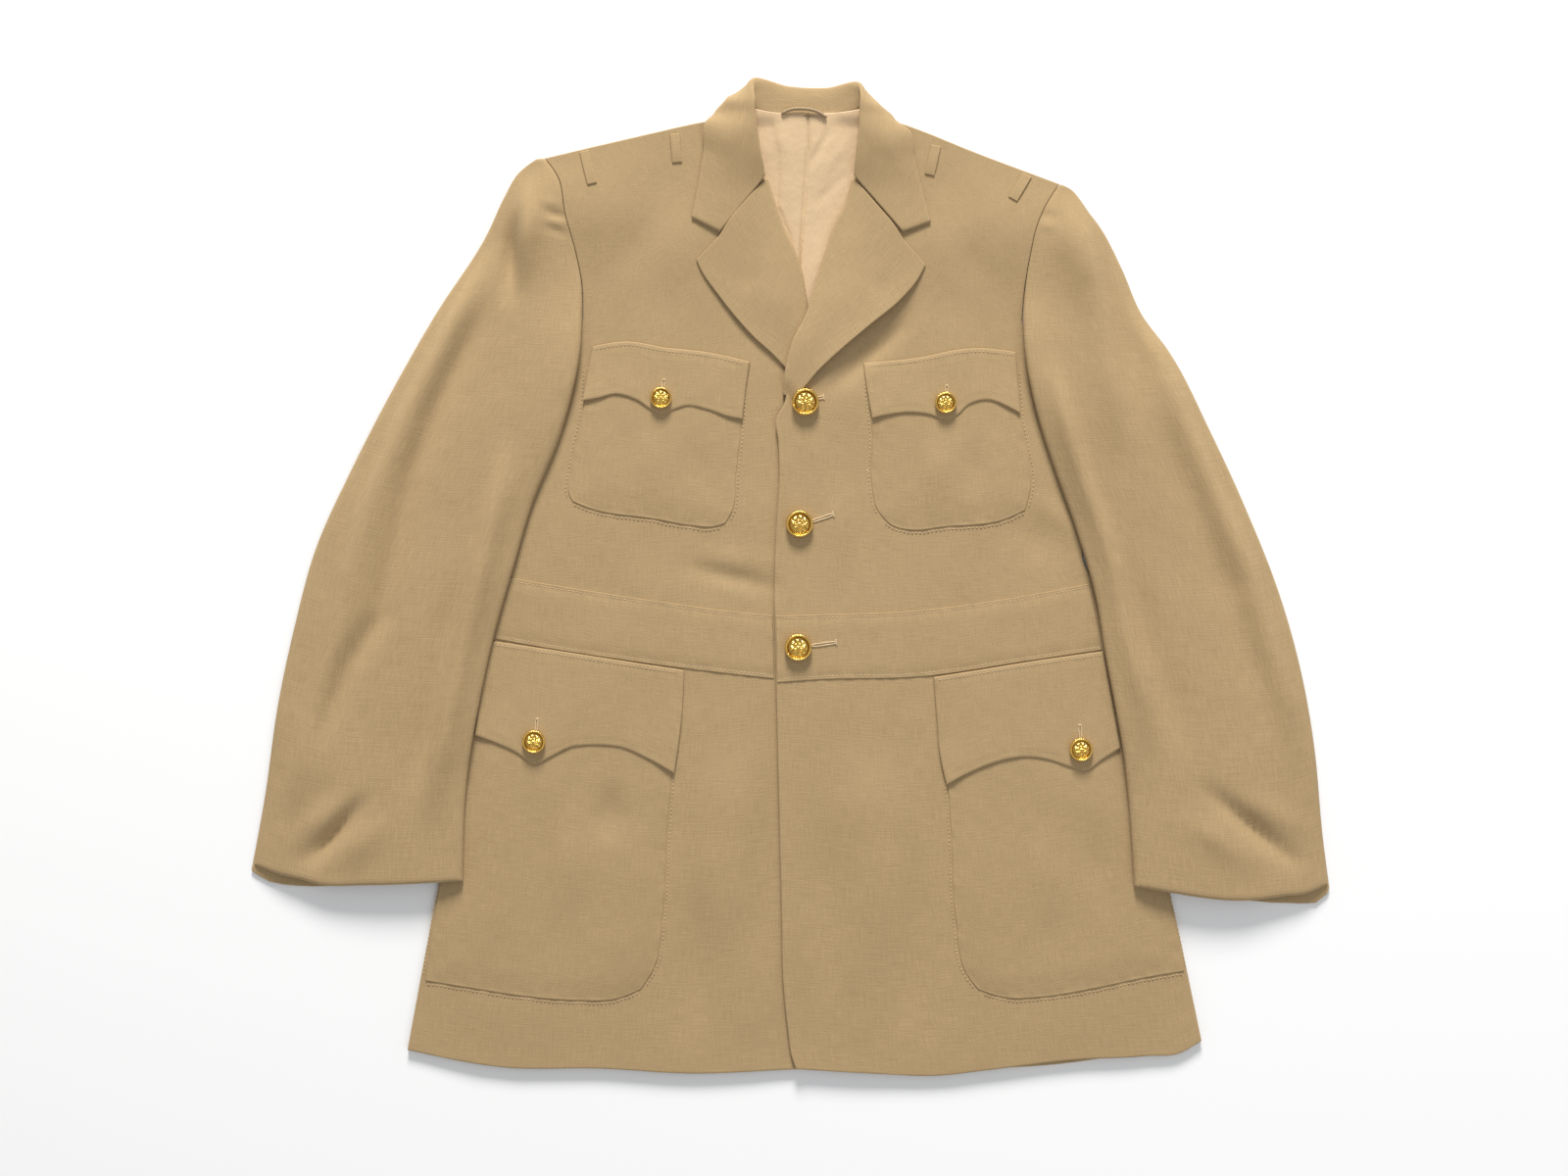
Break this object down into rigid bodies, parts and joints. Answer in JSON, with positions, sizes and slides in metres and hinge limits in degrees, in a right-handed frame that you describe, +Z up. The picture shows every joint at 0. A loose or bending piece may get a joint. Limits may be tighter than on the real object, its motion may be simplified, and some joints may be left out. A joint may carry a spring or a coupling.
{
  "type": "service dress jacket laid flat",
  "caption": "Belted khaki wool service coat lying flat on its back, buttoned, with notched lapels, flapped patch pockets and gilt buttons.",
  "frame": {"origin": "on the surface that it lies on, under the middle of its outline", "axes": "+X to the wearer's left, which is the viewer's right; +Y to the collar; +Z up from the surface, out of the coat's front"},
  "size_m": [0.8792, 0.8116, 0.0193],
  "materials": {
    "khaki_wool": "matt tropical worsted, fine plain weave",
    "lining_satin": "champagne lining with a soft sheen",
    "gilt": "polished gilt, struck relief",
    "hanger_cord": "matt brown cord"
  },
  "bodies": {
    "root": {"back_panel": "khaki_wool", "front_left": "khaki_wool", "front_right": "khaki_wool", "sleeve_top_left": "khaki_wool", "sleeve_top_right": "khaki_wool", "sleeve_under_left": "khaki_wool", "sleeve_under_right": "khaki_wool", "collar": "khaki_wool", "lapel_left": "khaki_wool", "lapel_right": "khaki_wool", "belt_left": "khaki_wool", "belt_right": "khaki_wool", "chest_pocket_left": "khaki_wool", "chest_pocket_right": "khaki_wool", "chest_flap_left": "khaki_wool", "chest_flap_right": "khaki_wool", "skirt_pocket_left": "khaki_wool", "skirt_pocket_right": "khaki_wool", "skirt_flap_left": "khaki_wool", "skirt_flap_right": "khaki_wool", "shoulder_loop_left_inner": "khaki_wool", "shoulder_loop_left_outer": "khaki_wool", "shoulder_loop_right_inner": "khaki_wool", "shoulder_loop_right_outer": "khaki_wool", "neck_lining": "lining_satin", "hanger_loop": "hanger_cord", "button_front_1": "gilt", "button_front_2": "gilt", "button_front_3": "gilt", "button_chest_left": "gilt", "button_chest_right": "gilt", "button_skirt_left": "gilt", "button_skirt_right": "gilt"}
  },
  "joints": []
}
